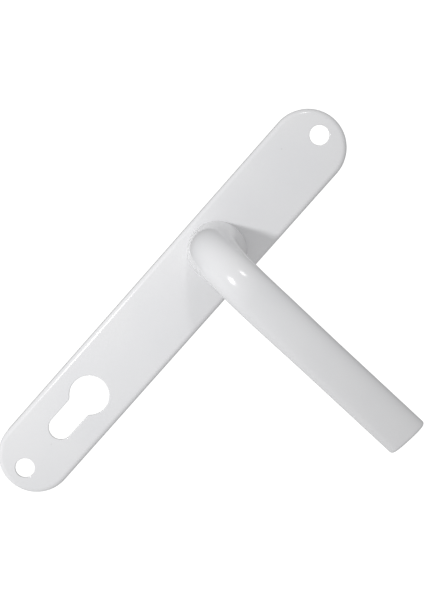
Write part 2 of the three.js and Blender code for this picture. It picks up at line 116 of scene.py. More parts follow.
STUD_BOXES = {end: box(f"frame_stud_{end}") for end in ("upper", "lower")}
STUD_ZS = [(low.z + high.z) / 2 for low, high in STUD_BOXES.values()]

SPRING_FRONT, SPRING_BACK = -7.6, -4.9  # y of the wire's centre in the fixed and the moving leg
SPRING_FIXED_LEG, SPRING_MOVING_LEG = 126.5, 264  # their directions, in degrees
SPRING_COIL_R = 9.8
SPRING_LEG_R = 12.2  # how far out the legs reach
SPRING_WIRE_R = 0.6
CAM_THICKNESS = 1.2

# The lever's sides are drawn in its own plane: x along the grip, and the height from the plate.
FOOT_R = 13
FOOT_SEAM = 0.05
NECK_TOP = 19
NECK_OUTER_X = -12.2
NECK_INNER_XS = [FOOT_R, 11.9, 10.5, 10.3]
NECK_HALF, ELBOW_HALF, GRIP_HALF = 10.9, 9.4, 9.15  # half breadths, across the grip
GRIP_FRONT, GRIP_BACK = 52, 41
GRIP_DROOP = math.radians(1.5)
GRIP_SQUARENESS = 2.5  # power of its section's superellipse; 2 is an ellipse
SETTLE = 0.4  # share of the grip over which its section becomes squarer
ELBOW_ROUND = 33
ELBOW_END = NECK_OUTER_X + ELBOW_ROUND
QUARTER = 0.5523 * ELBOW_ROUND  # handle length of a cubic that draws a quarter circle
ELBOW_OUTER = [(NECK_OUTER_X, NECK_TOP), (NECK_OUTER_X, NECK_TOP + QUARTER),
               (ELBOW_END - QUARTER, GRIP_FRONT), (ELBOW_END, GRIP_FRONT)]
ELBOW_INNER = [(NECK_INNER_XS[-1], NECK_TOP), (NECK_INNER_XS[-1], 32), (18, GRIP_BACK), (36, GRIP_BACK)]
LEVER_REACH = 107
GRIP_LENGTH = LEVER_REACH - ELBOW_END
END_SLANT = math.radians(3.5)
END_ROUND = 1.2
LEVER_BASE = PLATE_FRONT - GAP
RECESS_R, RECESS_DEPTH = 9.7, 1.1  # behind the foot, round the shank
GROOVE_R = 6.9
SOCKET_HALF = 4.3
LEVER_ROUND = 96  # points round the lever's section
LEVER_SMOOTH = 40  # degrees: its edges sharper than this stay sharp

# ---- outlines ------------------------------------------------------------------------------------
# An outline is a closed list of (x, z, nx, nz): its points in order, each with its outward normal.

def arc(cx, cz, radius, start, end, steps, hollow=False):
    """Points on an arc from start to end, in degrees; a hollow arc's normals face its centre."""
    facing = -1 if hollow else 1
    points = []
    for i in range(steps + 1):
        angle = math.radians(start + (end - start) * i / steps)
        x, z = math.cos(angle), math.sin(angle)
        points.append((cx + radius * x, cz + radius * z, facing * x, facing * z))
    return points


def circle(radius, x=0, z=0, steps=64):
    """A circle about (x, z)."""
    return arc(x, z, radius, 0, 360, steps)[:-1]


def stadium(half, top, bottom, steps=48):
    """A long shape with round ends, half its width given."""
    return arc(0, top - half, half, 0, 180, steps) + arc(0, bottom + half, half, 180, 360, steps)


def outline(corners, steps=4):
    """The outline through corners (x, z) or (x, z, radius), anticlockwise, with rounded corners."""
    points = []
    for i, corner in enumerate(corners):
        here = Vector(corner[:2])
        into = (here - Vector(corners[i - 1][:2])).normalized()
        away = (Vector(corners[(i + 1) % len(corners)][:2]) - here).normalized()
        side, next_side = Vector((into.y, -into.x)), Vector((away.y, -away.x))
        if len(corner) < 3:
            miter = (side + next_side) / (1 + side.dot(next_side))
            points.append((*here, *miter))
            continue
        turn = math.atan2(into.x * away.y - into.y * away.x, into.dot(away))
        radius = math.copysign(corner[2], turn)
        middle = here - into * abs(radius * math.tan(turn / 2)) - side * radius
        for k in range(steps + 1):
            normal = Matrix.Rotation(turn * k / steps, 2) @ side
            points.append((*(middle + normal * radius), *normal))
    return points


def rectangle(x, z, width, height, corner, steps=6):
    """A rectangle about (x, z), its corners rounded."""
    right, left = x + width / 2, x - width / 2
    top, bottom = z + height / 2, z - height / 2
    places = [(right, bottom), (right, top), (left, top), (left, bottom)]
    return outline([(*place, corner) for place in places], steps)


def polar(radii, corner=0.3):
    """An outline from (degrees, radius) points; one given as (degrees, radius, 1) is rounded by corner."""
    corners = []
    for degrees, radius, *rounded in radii:
        angle = math.radians(degrees)
        corners.append((radius * math.cos(angle), radius * math.sin(angle), *([corner] if rounded else [])))
    return outline(corners)


def arc_radii(radius, start, end, step=4):
    """Points for polar on an arc between two directions in degrees, its two ends left out."""
    count = max(2, round((end - start) / step))
    return [(start + (end - start) * i / count, radius) for i in range(1, count)]


def euro(margin=0, blend=EURO_BLEND):
    """The euro profile drawn out by margin, its two inner corners softened by blend."""
    big, small = EURO_R + margin, EURO_SLOT_R + margin
    corner_x = small + blend
    drop = math.sqrt((big + blend) ** 2 - corner_x ** 2)
    meet = math.degrees(math.atan2(-drop, corner_x))  # direction in which the round part ends
    points = arc(0, EURO_Z, big, meet, 180 - meet, 72)
    points += arc(-corner_x, EURO_Z - drop, blend, -meet, 0, 8, hollow=True)[1:]
    points += arc(0, EURO_Z - EURO_SLOT_DROP, small, 180, 360, 40)
    points += arc(corner_x, EURO_Z - drop, blend, 180, 180 + meet, 8, hollow=True)[:-1]
    return points


def filleted(corners, steps=6, support=0.25):
    """A path through corners (inset, y, radius), each turned on an arc of its radius.

    A point up to support before and after each arc keeps the flats beside it truly flat. It takes
    at most a share of what the arc leaves of them.
    """
    share = 0.3
    path = [corners[0][:2]]
    for before, here, after in zip(corners, corners[1:], corners[2:]):
        point, radius = Vector(here[:2]), here[2]
        last_leg, next_leg = Vector(before[:2]) - point, Vector(after[:2]) - point
        to_last, to_next = last_leg.normalized(), next_leg.normalized()
        angle = last_leg.angle(next_leg)
        cut = radius / math.tan(angle / 2)
        start, end = point + to_last * cut, point + to_next * cut
        middle = point + (to_last + to_next).normalized() * radius / math.sin(angle / 2)
        spoke = start - middle
        sweep = spoke.angle_signed(end - middle)
        path.append(tuple(start + to_last * min(support, share * (last_leg.length - cut))))
        for i in range(steps + 1):
            path.append(tuple(middle + Matrix.Rotation(-sweep * i / steps, 2) @ spoke))
        path.append(tuple(end + to_next * min(support, share * (next_leg.length - cut))))
    path.append(corners[-1][:2])
    return path


def cut_edge(front, back, edge):
    """The path round a cut sheet's rim, its two corners rounded by edge."""
    return filleted([(2 * edge, front, 0), (0, front, edge), (0, back, edge), (2 * edge, back, 0)], 3, edge)


# ---- closed skins --------------------------------------------------------------------------------

class Skin:
    """The vertices and faces of one closed piece, built ring by ring.

    A ring is the list of its vertices' numbers.
    """

    def __init__(self):
        self.points = []
        self.faces = []

    def add_ring(self, points):
        first = len(self.points)
        self.points += points
        return list(range(first, len(self.points)))

    def ring(self, shape, inset, y):
        """A ring of a shape, drawn in by inset and set at y."""
        return self.add_ring([(x - nx * inset, y, z - nz * inset) for x, z, nx, nz in shape])

    def join(self, rings):
        """Bands of faces between neighbouring rings. Returns the first and the last ring."""
        for a, b in zip(rings, rings[1:]):
            for i in range(len(a)):
                j = (i + 1) % len(a)
                self.faces.append((a[i], a[j], b[j], b[i]))
        return rings[0], rings[-1]

    def sweep(self, shape, path):
        """Rings of a shape along a path of (inset, y), joined up. Returns the first and the last."""
        return self.join([self.ring(shape, inset, y) for inset, y in path])

    def flat(self, edge, holes=()):
        """Fills between a flat shape's ring and the rings of the holes in it."""
        loops = [edge, *holes]
        indices = [i for loop in loops for i in loop]
        for face in tessellate_polygon([[Vector(self.points[i]) for i in loop] for loop in loops]):
            self.faces.append(tuple(indices[i] for i in face))

    def through(self, shape, top, bottom, edge):
        """A hole from top to bottom with rounded edges. Returns its ring on each face."""
        corners = [(-2 * edge, top, 0), (0, top, edge), (0, bottom, edge), (-2 * edge, bottom, 0)]
        return self.sweep(shape, filleted(corners, 3, edge))

    def blind(self, shape, top, floor, edge, inner=(), bottom=0.4):
        """A pocket from top down to its floor, which may hold deeper holes. Returns its top ring."""
        corners = [(-2 * edge, top, 0), (0, top, edge), (0, floor, bottom), (1.5 * bottom, floor, 0)]
        top_ring, floor_ring = self.sweep(shape, filleted(corners, 3, edge))
        self.flat(floor_ring, inner)
        return top_ring

    def turned(self, profile, steps=72, wave=lambda angle: 0):
        """A closed profile of (radius, y) turned about the Y axis; wave lifts it by direction."""
        rings = []
        for radius, y, *_ in profile:
            ring = []
            for i in range(steps):
                angle = 2 * math.pi * i / steps
                ring.append((radius * math.cos(angle), y + wave(angle), radius * math.sin(angle)))
            rings.append(self.add_ring(ring))
        self.join(rings + rings[:1])

    def piece(self, name, material, smooth=30):
        """The finished object, in metres; edges sharper than smooth degrees stay sharp."""
        mesh = bpy.data.meshes.new(name)
        mesh.from_pydata([Vector(point) * MM for point in self.points], [], self.faces)
        work = bmesh.new()
        work.from_mesh(mesh)
        bmesh.ops.remove_doubles(work, verts=work.verts, dist=1e-7)
        bmesh.ops.recalc_face_normals(work, faces=work.faces)
        work.to_mesh(mesh)
        work.free()
        dress(mesh, material, smooth)
        piece = bpy.data.objects.new(name, mesh)
        bpy.context.scene.collection.objects.link(piece)
        return piece


def dress(mesh, material, smooth):
    """Gives a mesh its one material and smooth faces, with edges sharper than smooth degrees kept."""
    mesh.materials.clear()
    mesh.materials.append(material)
    mesh.shade_smooth()
    mesh.set_sharp_from_angle(angle=math.radians(smooth))


def sheet(name, material, shape, holes, front, back, edge=0.12, bend=None):
    """A flat piece cut from sheet, its edges rounded by edge; bend moves a point along Y by its radius."""
    skin = Skin()
    front_edge, back_edge = skin.sweep(shape, cut_edge(front, back, edge))
    rings = [skin.through(hole, front, back, edge) for hole in holes]
    skin.flat(front_edge, [ring[0] for ring in rings])
    skin.flat(back_edge, [ring[1] for ring in rings])
    if bend:
        skin.points = [(x, y + bend(math.hypot(x, z)), z) for x, y, z in skin.points]
    return skin.piece(name, material)


def place(piece, body, slot, *nodes):
    """Rides a piece on a body, in place of the CAD's nodes; the slot argument is not used."""
    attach(piece, body)
    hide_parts(*nodes)
    return piece


# ---- materials -----------------------------------------------------------------------------------

def add_node(tree, kind, inputs=None, **settings):
    """A node with its settings made and each input linked to a socket or given a value."""
    node = tree.nodes.new(kind)
    for key, value in settings.items():
        setattr(node, key, value)
    for key, value in (inputs or {}).items():
        fill(tree, node.inputs[key], value)
    return node


def fill(tree, socket, value):
    """Links a node's input to a socket, or gives it a value."""
    if isinstance(value, bpy.types.NodeSocket):
        tree.links.new(value, socket)
    else:
        socket.default_value = value


class Material:
    """A node material with a Principled shader, built by short calls."""

    def __init__(self, name):
        self.material = bpy.data.materials.new(name)
        self.material.use_nodes = True
        self.tree = self.material.node_tree
        self.shader = self.tree.nodes["Principled BSDF"]
        self.place = self.tree.nodes.new("ShaderNodeTexCoord").outputs["Object"]

    def node(self, kind, inputs, **settings):
        return add_node(self.tree, kind, inputs, **settings)

    def noise(self, scale, detail, roughness=0.5, stretch=None):
        """Noise of a scale per metre, its pattern stretched along an axis by a low factor."""
        place = self.place
        if stretch:
            place = self.node("ShaderNodeMapping", {"Vector": place, "Scale": stretch}).outputs[0]
        inputs = {"Vector": place, "Scale": scale, "Detail": detail, "Roughness": roughness}
        return self.node("ShaderNodeTexNoise", inputs).outputs["Fac"]

    def ramp(self, value, stops):
        """A value turned into colours by stops of (position, colour)."""
        node = self.node("ShaderNodeValToRGB", {"Fac": value})
        elements = node.color_ramp.elements
        while len(elements) < len(stops):
            elements.new(0.5)
        for element, (position, colour) in zip(elements, stops):
            element.position = position
            element.color = (*colour, 1)
        return node.outputs["Color"]

    def range(self, value, low, high):
        """Noise, which keeps mostly within 0.3 and 0.7, spread out from low to high."""
        inputs = {"Value": value, "From Min": 0.3, "From Max": 0.7, "To Min": low, "To Max": high}
        return self.node("ShaderNodeMapRange", inputs).outputs["Result"]

    def multiply(self, a, b):
        """The product of two colours, which are the Mix node's inputs 6 and 7."""
        inputs = {"Factor": 1.0, 6: a, 7: b}
        return self.node("ShaderNodeMix", inputs, data_type="RGBA", blend_type="MULTIPLY").outputs[2]

    def bump(self, height, depth, strength=1.0, normal=None):
        """A relief of a depth in millimetres, over another normal where one is given."""
        inputs = {"Height": height, "Distance": depth * MM, "Strength": strength}
        if normal is not None:
            inputs["Normal"] = normal
        return self.node("ShaderNodeBump", inputs).outputs["Normal"]

    def set(self, **inputs):
        """Fills the shader's inputs, named with _ for a space, and returns the material."""
        for key, value in inputs.items():
            fill(self.tree, self.shader.inputs[key.replace("_", " ")], value)
        return self.material


def enamel():
    """White powder coat: faint orange peel, slow change of tone, a few specks of dust in the coat."""
    look = Material("white_enamel")
    tone = look.ramp(look.noise(28, 3), [(0.35, (0.765, 0.768, 0.784)), (0.65, (0.79, 0.79, 0.8))])
    cells = look.node("ShaderNodeTexVoronoi", {"Vector": look.place, "Scale": 95}).outputs["Distance"]
    specks = look.ramp(cells, [(0.022, (0.9, 0.9, 0.9)), (0.045, (1, 1, 1))])
    peel = look.bump(look.noise(520, 2), 0.003)
    ripple = look.bump(look.noise(110, 1), 0.008, normal=peel)
    roughness = look.range(look.noise(60, 4), 0.14, 0.19)
    return look.set(Base_Color=look.multiply(tone, specks), Roughness=roughness, Normal=ripple, IOR=1.5)


def nylon():
    """Grey moulded nylon with a fine sparked texture."""
    look = Material("grey_nylon")
    tone = look.ramp(look.noise(60, 4), [(0.3, (0.5, 0.5, 0.48)), (0.7, (0.58, 0.57, 0.55))])
    return look.set(Base_Color=tone, Roughness=look.range(look.noise(300, 3), 0.45, 0.6),
                    Normal=look.bump(look.noise(2600, 3), 0.03, 0.6))


def acetal():
    """Off-white bearing plastic, smoother than the nylon."""
    look = Material("white_acetal")
    tone = look.ramp(look.noise(80, 3), [(0.3, (0.74, 0.73, 0.69)), (0.7, (0.8, 0.79, 0.75))])
    return look.set(Base_Color=tone, Roughness=look.range(look.noise(300, 3), 0.3, 0.42),
                    Normal=look.bump(look.noise(900, 2), 0.02, 0.3))


def zinc():
    """Bright zinc plate: pale cool metal, cloudy passivation, fine drawn lines."""
    look = Material("zinc_plated_steel")
    tones = [(0.3, (0.58, 0.59, 0.62)), (0.55, (0.68, 0.69, 0.7)), (0.75, (0.72, 0.7, 0.66))]
    tone = look.ramp(look.noise(180, 5, 0.6), tones)
    return look.set(Base_Color=tone, Metallic=1.0, Roughness=look.range(look.noise(420, 4), 0.28, 0.42),
                    Normal=look.bump(look.noise(900, 2, stretch=(1, 0.05, 1)), 0.02, 0.4))


def spring_steel():
    """Dark oiled steel with uneven tone."""
    look = Material("spring_steel")
    tone = look.ramp(look.noise(240, 4), [(0.3, (0.16, 0.165, 0.18)), (0.7, (0.27, 0.265, 0.26))])
    return look.set(Base_Color=tone, Metallic=1.0, Roughness=look.range(look.noise(500, 3), 0.3, 0.45),
                    Normal=look.bump(look.noise(1500, 2), 0.01, 0.5))


def black_oxide():
    """Blackened steel, slightly patchy."""
    look = Material("black_oxide_steel")
    tone = look.ramp(look.noise(260, 4), [(0.3, (0.03, 0.03, 0.033)), (0.7, (0.07, 0.068, 0.066))])
    return look.set(Base_Color=tone, Metallic=1.0, Roughness=look.range(look.noise(500, 3), 0.35, 0.5),
                    Normal=look.bump(look.noise(1500, 2), 0.01, 0.5))


def floor_paint():
    """Pale matt paint that glows a little, so the floor keeps close to the white behind it."""
    look = Material("floor_paint")
    tone = look.ramp(look.noise(6, 4), [(0.3, (0.86, 0.86, 0.86)), (0.7, (0.9, 0.9, 0.9))])
    return look.set(Base_Color=tone, Roughness=look.range(look.noise(20, 3), 0.6, 0.7),
                    Emission_Color=(1, 1, 1, 1), Emission_Strength=0.42)


ENAMEL, NYLON, ACETAL = enamel(), nylon(), acetal()
ZINC, SPRING_STEEL, BLACK_OXIDE = zinc(), spring_steel(), black_oxide()


# ---- backplate -----------------------------------------------------------------------------------

def cover_plate():
    """Pressed shell: rounded front edge, thin walls, and a softly lipped edge to each hole."""
    skin = Skin()
    back, floor = PLATE_HIGH.y, PLATE_FRONT + PLATE_SKIN
    flat_from = PLATE_FILLET + 0.6
    rim = 0.25  # rounding of the wall's back edge
    edge = filleted([
        (flat_from, PLATE_FRONT, 0), (0, PLATE_FRONT, PLATE_FILLET), (0, back, rim), (PLATE_SKIN, back, rim),
        (PLATE_SKIN, floor, PLATE_FILLET - PLATE_SKIN), (flat_from, floor, 0)], steps=10)
    front_edge, inner_edge = skin.sweep(stadium(PLATE_HIGH.x, PLATE_HIGH.z, PLATE_LOW.z), edge)
    lip = filleted([(-PLATE_LIP - 0.2, PLATE_FRONT, 0), (0, PLATE_FRONT, PLATE_LIP), (0, floor, 0.1),
                    (-0.3, floor, 0)], support=0.1)
    holes = [circle(SCREW_HOLE_R, 0, z, 56) for z in SCREW_HOLE_ZS] + [circle(BUSH_HOLE_R), euro()]
    rings = [skin.sweep(hole, lip) for hole in holes]
    skin.flat(front_edge, [ring[0] for ring in rings])
    skin.flat(inner_edge, [ring[1] for ring in rings])
    return skin.piece("cover_plate_shell", ENAMEL)


def pocket_outline():
    """The spring's pocket: round, with a stop standing out of its wall at two places."""
    (first, first_end), (second, second_end) = STOPS
    walls = []
    for start, end, next_start in [(first, first_end, second), (second, second_end, first + 360)]:
        walls += [(start, POCKET_R, 1), (start, STOP_INNER_R, 1), *arc_radii(STOP_INNER_R, start, end)]
        walls += [(end, STOP_INNER_R, 1), (end, POCKET_R, 1), *arc_radii(POCKET_R, end, next_start)]
    return polar(walls)


def support_frame():
    """Moulded frame: ribs and cells behind, the spring's pocket with its two stops, and its rebate."""
    skin = Skin()
    low, high = box("support_frame")
    front, back, floor = low.y, high.y, low.y + 1
    edge, front_round, back_round = 0.2, 1.5, 0.3
    path = filleted([(2, front, 0), (0, front, front_round), (0, back, back_round), (0.8, back, 0)], 5)
    front_edge, back_edge = skin.sweep(stadium(high.x, high.z, low.z), path)
    front_holes, back_holes = [], []

    def through(hole, top):
        """A hole from top to the frame's front. Returns its ring at the top."""
        top_ring, front_ring = skin.through(hole, top, front, edge)
        front_holes.append(front_ring)
        return top_ring

    for z in SCREW_HOLE_ZS:
        back_holes.append(through(circle(SCREW_OPENING_R, 0, z, 48), back))
    back_holes.append(through(euro(EURO_RELIEF, EURO_RELIEF_BLEND), back))
    for z in CELL_ROW_ZS:
        for x in (CELL_X, -CELL_X):
            cell = rectangle(x, z, CELL_WIDTH, CELL_HEIGHT, 1.5)
            back_holes.append(skin.blind(cell, back, floor, edge))
    for z in STUD_ZS:
        hole = through(circle(STUD_R + GAP, 0, z, 32), NUT_FLOOR)
        back_holes.append(skin.blind(circle(NUT_R + GAP, 0, z, 48), back, NUT_FLOOR, edge, [hole], 0.2))
    pilots = []
    for x, z in SCREW_PLACES:
        pilots.append(skin.blind(circle(PILOT_R, x, z, 24), REBATE_FLOOR, PILOT_FLOOR, edge, bottom=0.3))
    bush_hole = through(circle(BUSH_HOLE_R), floor)
    pocket = skin.blind(pocket_outline(), REBATE_FLOOR, floor, edge, [bush_hole])
    rebate = rectangle(0, 0, 2 * (HOUSING_HIGH.x + GAP), 2 * (HOUSING_HIGH.z + GAP), 3)
    back_holes.append(skin.blind(rebate, back, REBATE_FLOOR, edge, [pocket, *pilots], 0.2))
    skin.flat(front_edge, front_holes)
    skin.flat(back_edge, back_holes)
    return skin.piece("support_frame_moulding", NYLON)


def housing_cover():
    """Steel plate over the spring's pocket, held by four screws."""
    shape = rectangle(0, 0, 2 * HOUSING_HIGH.x, 2 * HOUSING_HIGH.z, 2.7)
    holes = [circle(BORE_R), *[circle(PILOT_R, x, z, 24) for x, z in SCREW_PLACES]]
    return sheet("housing_cover_sheet", ZINC, shape, holes, HOUSING_LOW.y, HOUSING_HIGH.y, 0.15)


def threaded_rings(skin, crest, depth, start, end, pitch, x=0, z=0, steps=24):
    """Rings of a thread of a crest radius and a depth, along Y from start to end, where it fades out."""
    rings_per_turn = 8
    count = round(abs(end - start) / pitch * rings_per_turn)
    rings = []
    for i in range(count + 1):
        y = start + (end - start) * i / count
        fade = min(1, 4 * i / count, 4 * (count - i) / count)
        ring = []
        for k in range(steps):
            angle = 2 * math.pi * k / steps
            phase = (y / pitch + k / steps) % 1
            radius = crest - depth * (1 - fade * (1 - abs(2 * phase - 1)))
            ring.append((x + radius * math.cos(angle), y, z + radius * math.sin(angle)))
        rings.append(skin.add_ring(ring))
    return rings


def cross_outline(x, z, arm, half, corner):
    """A cross about (x, z): its arms' reach and half their width."""
    points = []
    for quarter in range(4):
        turn = Matrix.Rotation(math.pi / 2 * quarter, 2)
        for place in [(arm, -half), (arm, half), (half, half)]:
            points.append((*(turn @ Vector(place) + Vector((x, z))), corner))
    return outline(points, 2)


def cover_screw(number):
    """Pan-head thread-forming screw with a cross recess."""
    (low, high), (x, z) = SCREW_BOXES[number - 1], SCREW_PLACES[number - 1]
    skin = Skin()
    radius, shank = (high.x - low.x) / 2, 1.15
    top, shoulder, seat = high.y, high.y - 0.25, high.y - 1  # of the head
    head = filleted([(radius - 1.55, top, 0), (0, shoulder, 0.3), (0, seat, 0.1), (radius - shank, seat, 0)],
                    4, 0.1)
    head_rings = [skin.ring(circle(radius, x, z, 24), inset, y) for inset, y in head]
    thread = threaded_rings(skin, shank, 0.22, seat - 0.05, low.y + 1, pitch=0.9, x=x, z=z)
    tip = [(0.45, low.y + 0.4), (0.95, low.y)]
    tip_rings = [skin.ring(circle(shank, x, z, 24), inset, y) for inset, y in tip]
    first, last = skin.join(head_rings + thread + tip_rings)
    floor = top - 0.6
    recess = filleted([(-0.06, top, 0), (0, top, 0.03), (0.1, floor, 0.05), (0.2, floor, 0)], 2, 0.02)
    cross = cross_outline(x, z, arm=1.25, half=0.28, corner=0.08)
    recess_top, recess_floor = skin.sweep(cross, recess)
    skin.flat(recess_floor)
    skin.flat(first, [recess_top])
    skin.flat(last)
    return skin.piece(f"pan_head_screw_{number}", ZINC)


def frame_stud(end):
    """Plain stud from the plate through the frame, its end rounded for the push nut."""
    low, high = STUD_BOXES[end]
    skin = Skin()
    path = filleted([(1.1, low.y, 0), (0, low.y, 0.2), (0, high.y, 0.4), (1.1, high.y, 0)], 4, 0.1)
    for ring in skin.sweep(circle(STUD_R, 0, (low.z + high.z) / 2, 32), path):
        skin.flat(ring)
    return skin.piece(f"stud_{end}", ZINC)


def push_nut(end):
    """Dished spring nut: six teeth bent in towards the stud."""
    low, high = box(f"push_nut_{end}")
    inner, slot_end, half_slot, tooth_from, tooth_to = 1.8, 2.9, 7, 12, 48  # radii, then degrees
    thickness, dish = 0.34, 0.26
    teeth = []
    for at in range(0, 360, 60):
        teeth += [(at - half_slot, slot_end), (at, slot_end + 0.15), (at + half_slot, slot_end)]
        teeth += [(at + tooth_from, inner), *arc_radii(inner, at + tooth_from, at + tooth_to, 6)]
        teeth += [(at + tooth_to, inner)]

    def bend(radius):
        return -dish * min(1, max(0, (NUT_R - radius) / (NUT_R - inner))) ** 2

    rim, front = circle(NUT_R, steps=48), high.y - thickness
    nut = sheet(f"spring_nut_{end}", SPRING_STEEL, rim, [polar(teeth)], front, high.y, 0.06, bend)
    nut.data.transform(Matrix.Translation((0, 0, (low.z + high.z) / 2 * MM)))
    return nut


def bearing_bush():
    """Acetal bush, its flange between the lever's foot and the plate."""
    low, high = box("bearing_bush")
    barrel_r, flange_back = BUSH_HOLE_R - GAP, low.y + 0.8
    skin = Skin()
    skin.turned(outline([
        (BORE_R, low.y, 0.2), (high.x, low.y, 0.2), (high.x, flange_back, 0.2),
        (barrel_r, flange_back, 0.1), (barrel_r, high.y, 0.25), (BORE_R, high.y, 0.2)], 3))
    return skin.piece("flanged_bush", ACETAL)


def wire(skin, line, radius, steps=16):
    """A closed round wire along a line of points, slightly thinner at its two ends."""
    rings = []
    last = len(line) - 1
    for i, point in enumerate(line):
        ahead = line[min(i + 1, last)] - line[max(i - 1, 0)]
        across = ahead.cross(Vector((0, 1, 0))).normalized()
        up = across.cross(ahead).normalized()
        reach = radius - (0.12 if i in (0, last) else 0)
        ring = []
        for k in range(steps):
            angle = 2 * math.pi * k / steps
            ring.append(tuple(point + across * reach * math.cos(angle) + up * reach * math.sin(angle)))
        rings.append(skin.add_ring(ring))
    for ring in skin.join(rings):
        skin.flat(ring)


def return_spring():
    """Torsion spring: a leg out to the pocket's wall, a little over a turn and a half, and the other leg."""
    front, back, fixed, moving = SPRING_FRONT, SPRING_BACK, SPRING_FIXED_LEG, SPRING_MOVING_LEG
    bend, steps = 8, 180  # degrees of each leg's bend, and points along the coil
    turn = fixed - moving + 720 - 2 * bend
    bend_r, bend_out_r = SPRING_COIL_R + 0.35, SPRING_COIL_R + 1.2
    line = [(SPRING_LEG_R, fixed, front), (bend_out_r, fixed, front), (bend_r, fixed - 0.45 * bend, front)]
    for i in range(steps + 1):
        share = i / steps
        line.append((SPRING_COIL_R, fixed - bend - share * turn, front + share * (back - front)))
    line += [(bend_r, moving + 0.45 * bend, back), (bend_out_r, moving, back), (SPRING_LEG_R, moving, back)]
    points = []
    for radius, degrees, y in line:
        angle = math.radians(degrees)
        points.append(Vector((radius * math.cos(angle), y, radius * math.sin(angle))))
    skin = Skin()
    wire(skin, points, SPRING_WIRE_R)
    return skin.piece("torsion_spring", SPRING_STEEL)


# ---- lever ---------------------------------------------------------------------------------------

def cubic(points, t):
    """A point on a cubic Bezier curve."""
    a, b, c, d = (Vector(p) for p in points)
    u = 1 - t
    return u ** 3 * a + 3 * u * u * t * b + 3 * u * t * t * c + t ** 3 * d


def mix(a, b, t):
    """From a to b as t goes from 0 to 1."""
    return a + (b - a) * t


def smooth(t):
    """From 0 to 1 with a soft start and end."""
    t = min(1, max(0, t))
    return t * t * (3 - 2 * t)


NECK, ELBOW, GRIP = range(3)  # the lever's stretches, each drawn for t from 0 to 1


def lever_sides(stretch, t):
    """Points on the lever's outer and inner side, as (x, height)."""
    if stretch == NECK:
        height = mix(GAP, NECK_TOP, t)
        inner_x = cubic([(x, 0) for x in NECK_INNER_XS], t).x
        return Vector((mix(-FOOT_R, NECK_OUTER_X, t), height)), Vector((inner_x, height))
    if stretch == ELBOW:
        return cubic(ELBOW_OUTER, t), cubic(ELBOW_INNER, t)
    outer = Vector(ELBOW_OUTER[-1]).lerp(Vector((LEVER_REACH, GRIP_FRONT)), t)
    inner = Vector(ELBOW_INNER[-1]).lerp(Vector((LEVER_REACH, GRIP_BACK)), t)
    return outer, inner


def half_breadth(stretch, t):
    """Half the lever's breadth across the grip."""
    if stretch == NECK:
        return mix(FOOT_R, NECK_HALF, t)
    if stretch == ELBOW:
        return mix(ELBOW_HALF, NECK_HALF, (1 - t) ** 3)
    return mix(ELBOW_HALF, GRIP_HALF, smooth(t / SETTLE))


def lever_section(stretch, t, shrink=0.0):
    """One ring of the lever's outside, drawn in by shrink at the foot's rim and the grip's end."""
    outer, inner = lever_sides(stretch, t)
    middle, reach = (outer + inner) / 2, (outer - inner) / 2
    reach = reach.normalized() * (reach.length - shrink)
    breadth = half_breadth(stretch, t) - shrink
    along_grip = t if stretch == GRIP else 0
    power = 2 / mix(2, GRIP_SQUARENESS, smooth(along_grip / SETTLE))
    lean = math.tan(END_SLANT) * along_grip
    droop = Matrix.Rotation(GRIP_DROOP, 3, "Y")
    ring = []
    for i in range(LEVER_ROUND):
        angle = 2 * math.pi * i / LEVER_ROUND
        out = math.copysign(abs(math.cos(angle)) ** power, math.cos(angle))
        across = math.copysign(abs(math.sin(angle)) ** power, math.sin(angle)) * breadth
        x, height = middle + reach * out
        ring.append(tuple(droop @ Vector((x + lean * across, PLATE_FRONT - height, across))))
    return ring


def lever_outside():
    """Sections from the grip's rounded end, along the elbow and the neck, to the foot's rim."""
    end_steps, grip_steps, elbow_steps, neck_steps = 8, 36, 64, 30
    sections = [lever_section(GRIP, 1, END_ROUND + 0.3)]
    for i in range(end_steps + 1):
        angle = math.pi / 2 * i / end_steps
        t = 1 - END_ROUND * (1 - math.cos(angle)) / GRIP_LENGTH
        sections.append(lever_section(GRIP, t, END_ROUND * (1 - math.sin(angle))))
    sections += [lever_section(GRIP, i / grip_steps) for i in range(grip_steps - 1, -1, -1)]
    sections += [lever_section(ELBOW, i / elbow_steps) for i in range(elbow_steps - 1, -1, -1)]
    sections += [lever_section(NECK, i / neck_steps) for i in range(neck_steps - 1, 0, -1)]
    rim = filleted([(0, 1.2, 0), (0, FOOT_SEAM, 0.04), (0.5, FOOT_SEAM, 0)], 3, 0.04)
    sections += [lever_section(NECK, (height - GAP) / (NECK_TOP - GAP), inset) for inset, height in rim[1:]]
    return sections


def axial_rings(skin, radius_at, path):
    """Rings about the lever's axis for a path of (size, y); radius_at(size, angle) gives their shape."""
    rings = []
    for size, y in path:
        ring = []
        for i in range(LEVER_ROUND):
            angle = 2 * math.pi * i / LEVER_ROUND
            radius = radius_at(size, angle)
            ring.append((-radius * math.cos(angle), y, radius * math.sin(angle)))
        rings.append(skin.add_ring(ring))
    return rings


def round_radius(radius, angle):
    return radius


def flatted_radius(radius, angle):
    """A circle cut by the shank's two flats."""
    return min(radius, SHANK_FLAT / max(abs(math.cos(angle)), 0.1))


def square_radius(half, angle):
    return half / max(abs(math.cos(angle)), abs(math.sin(angle)))


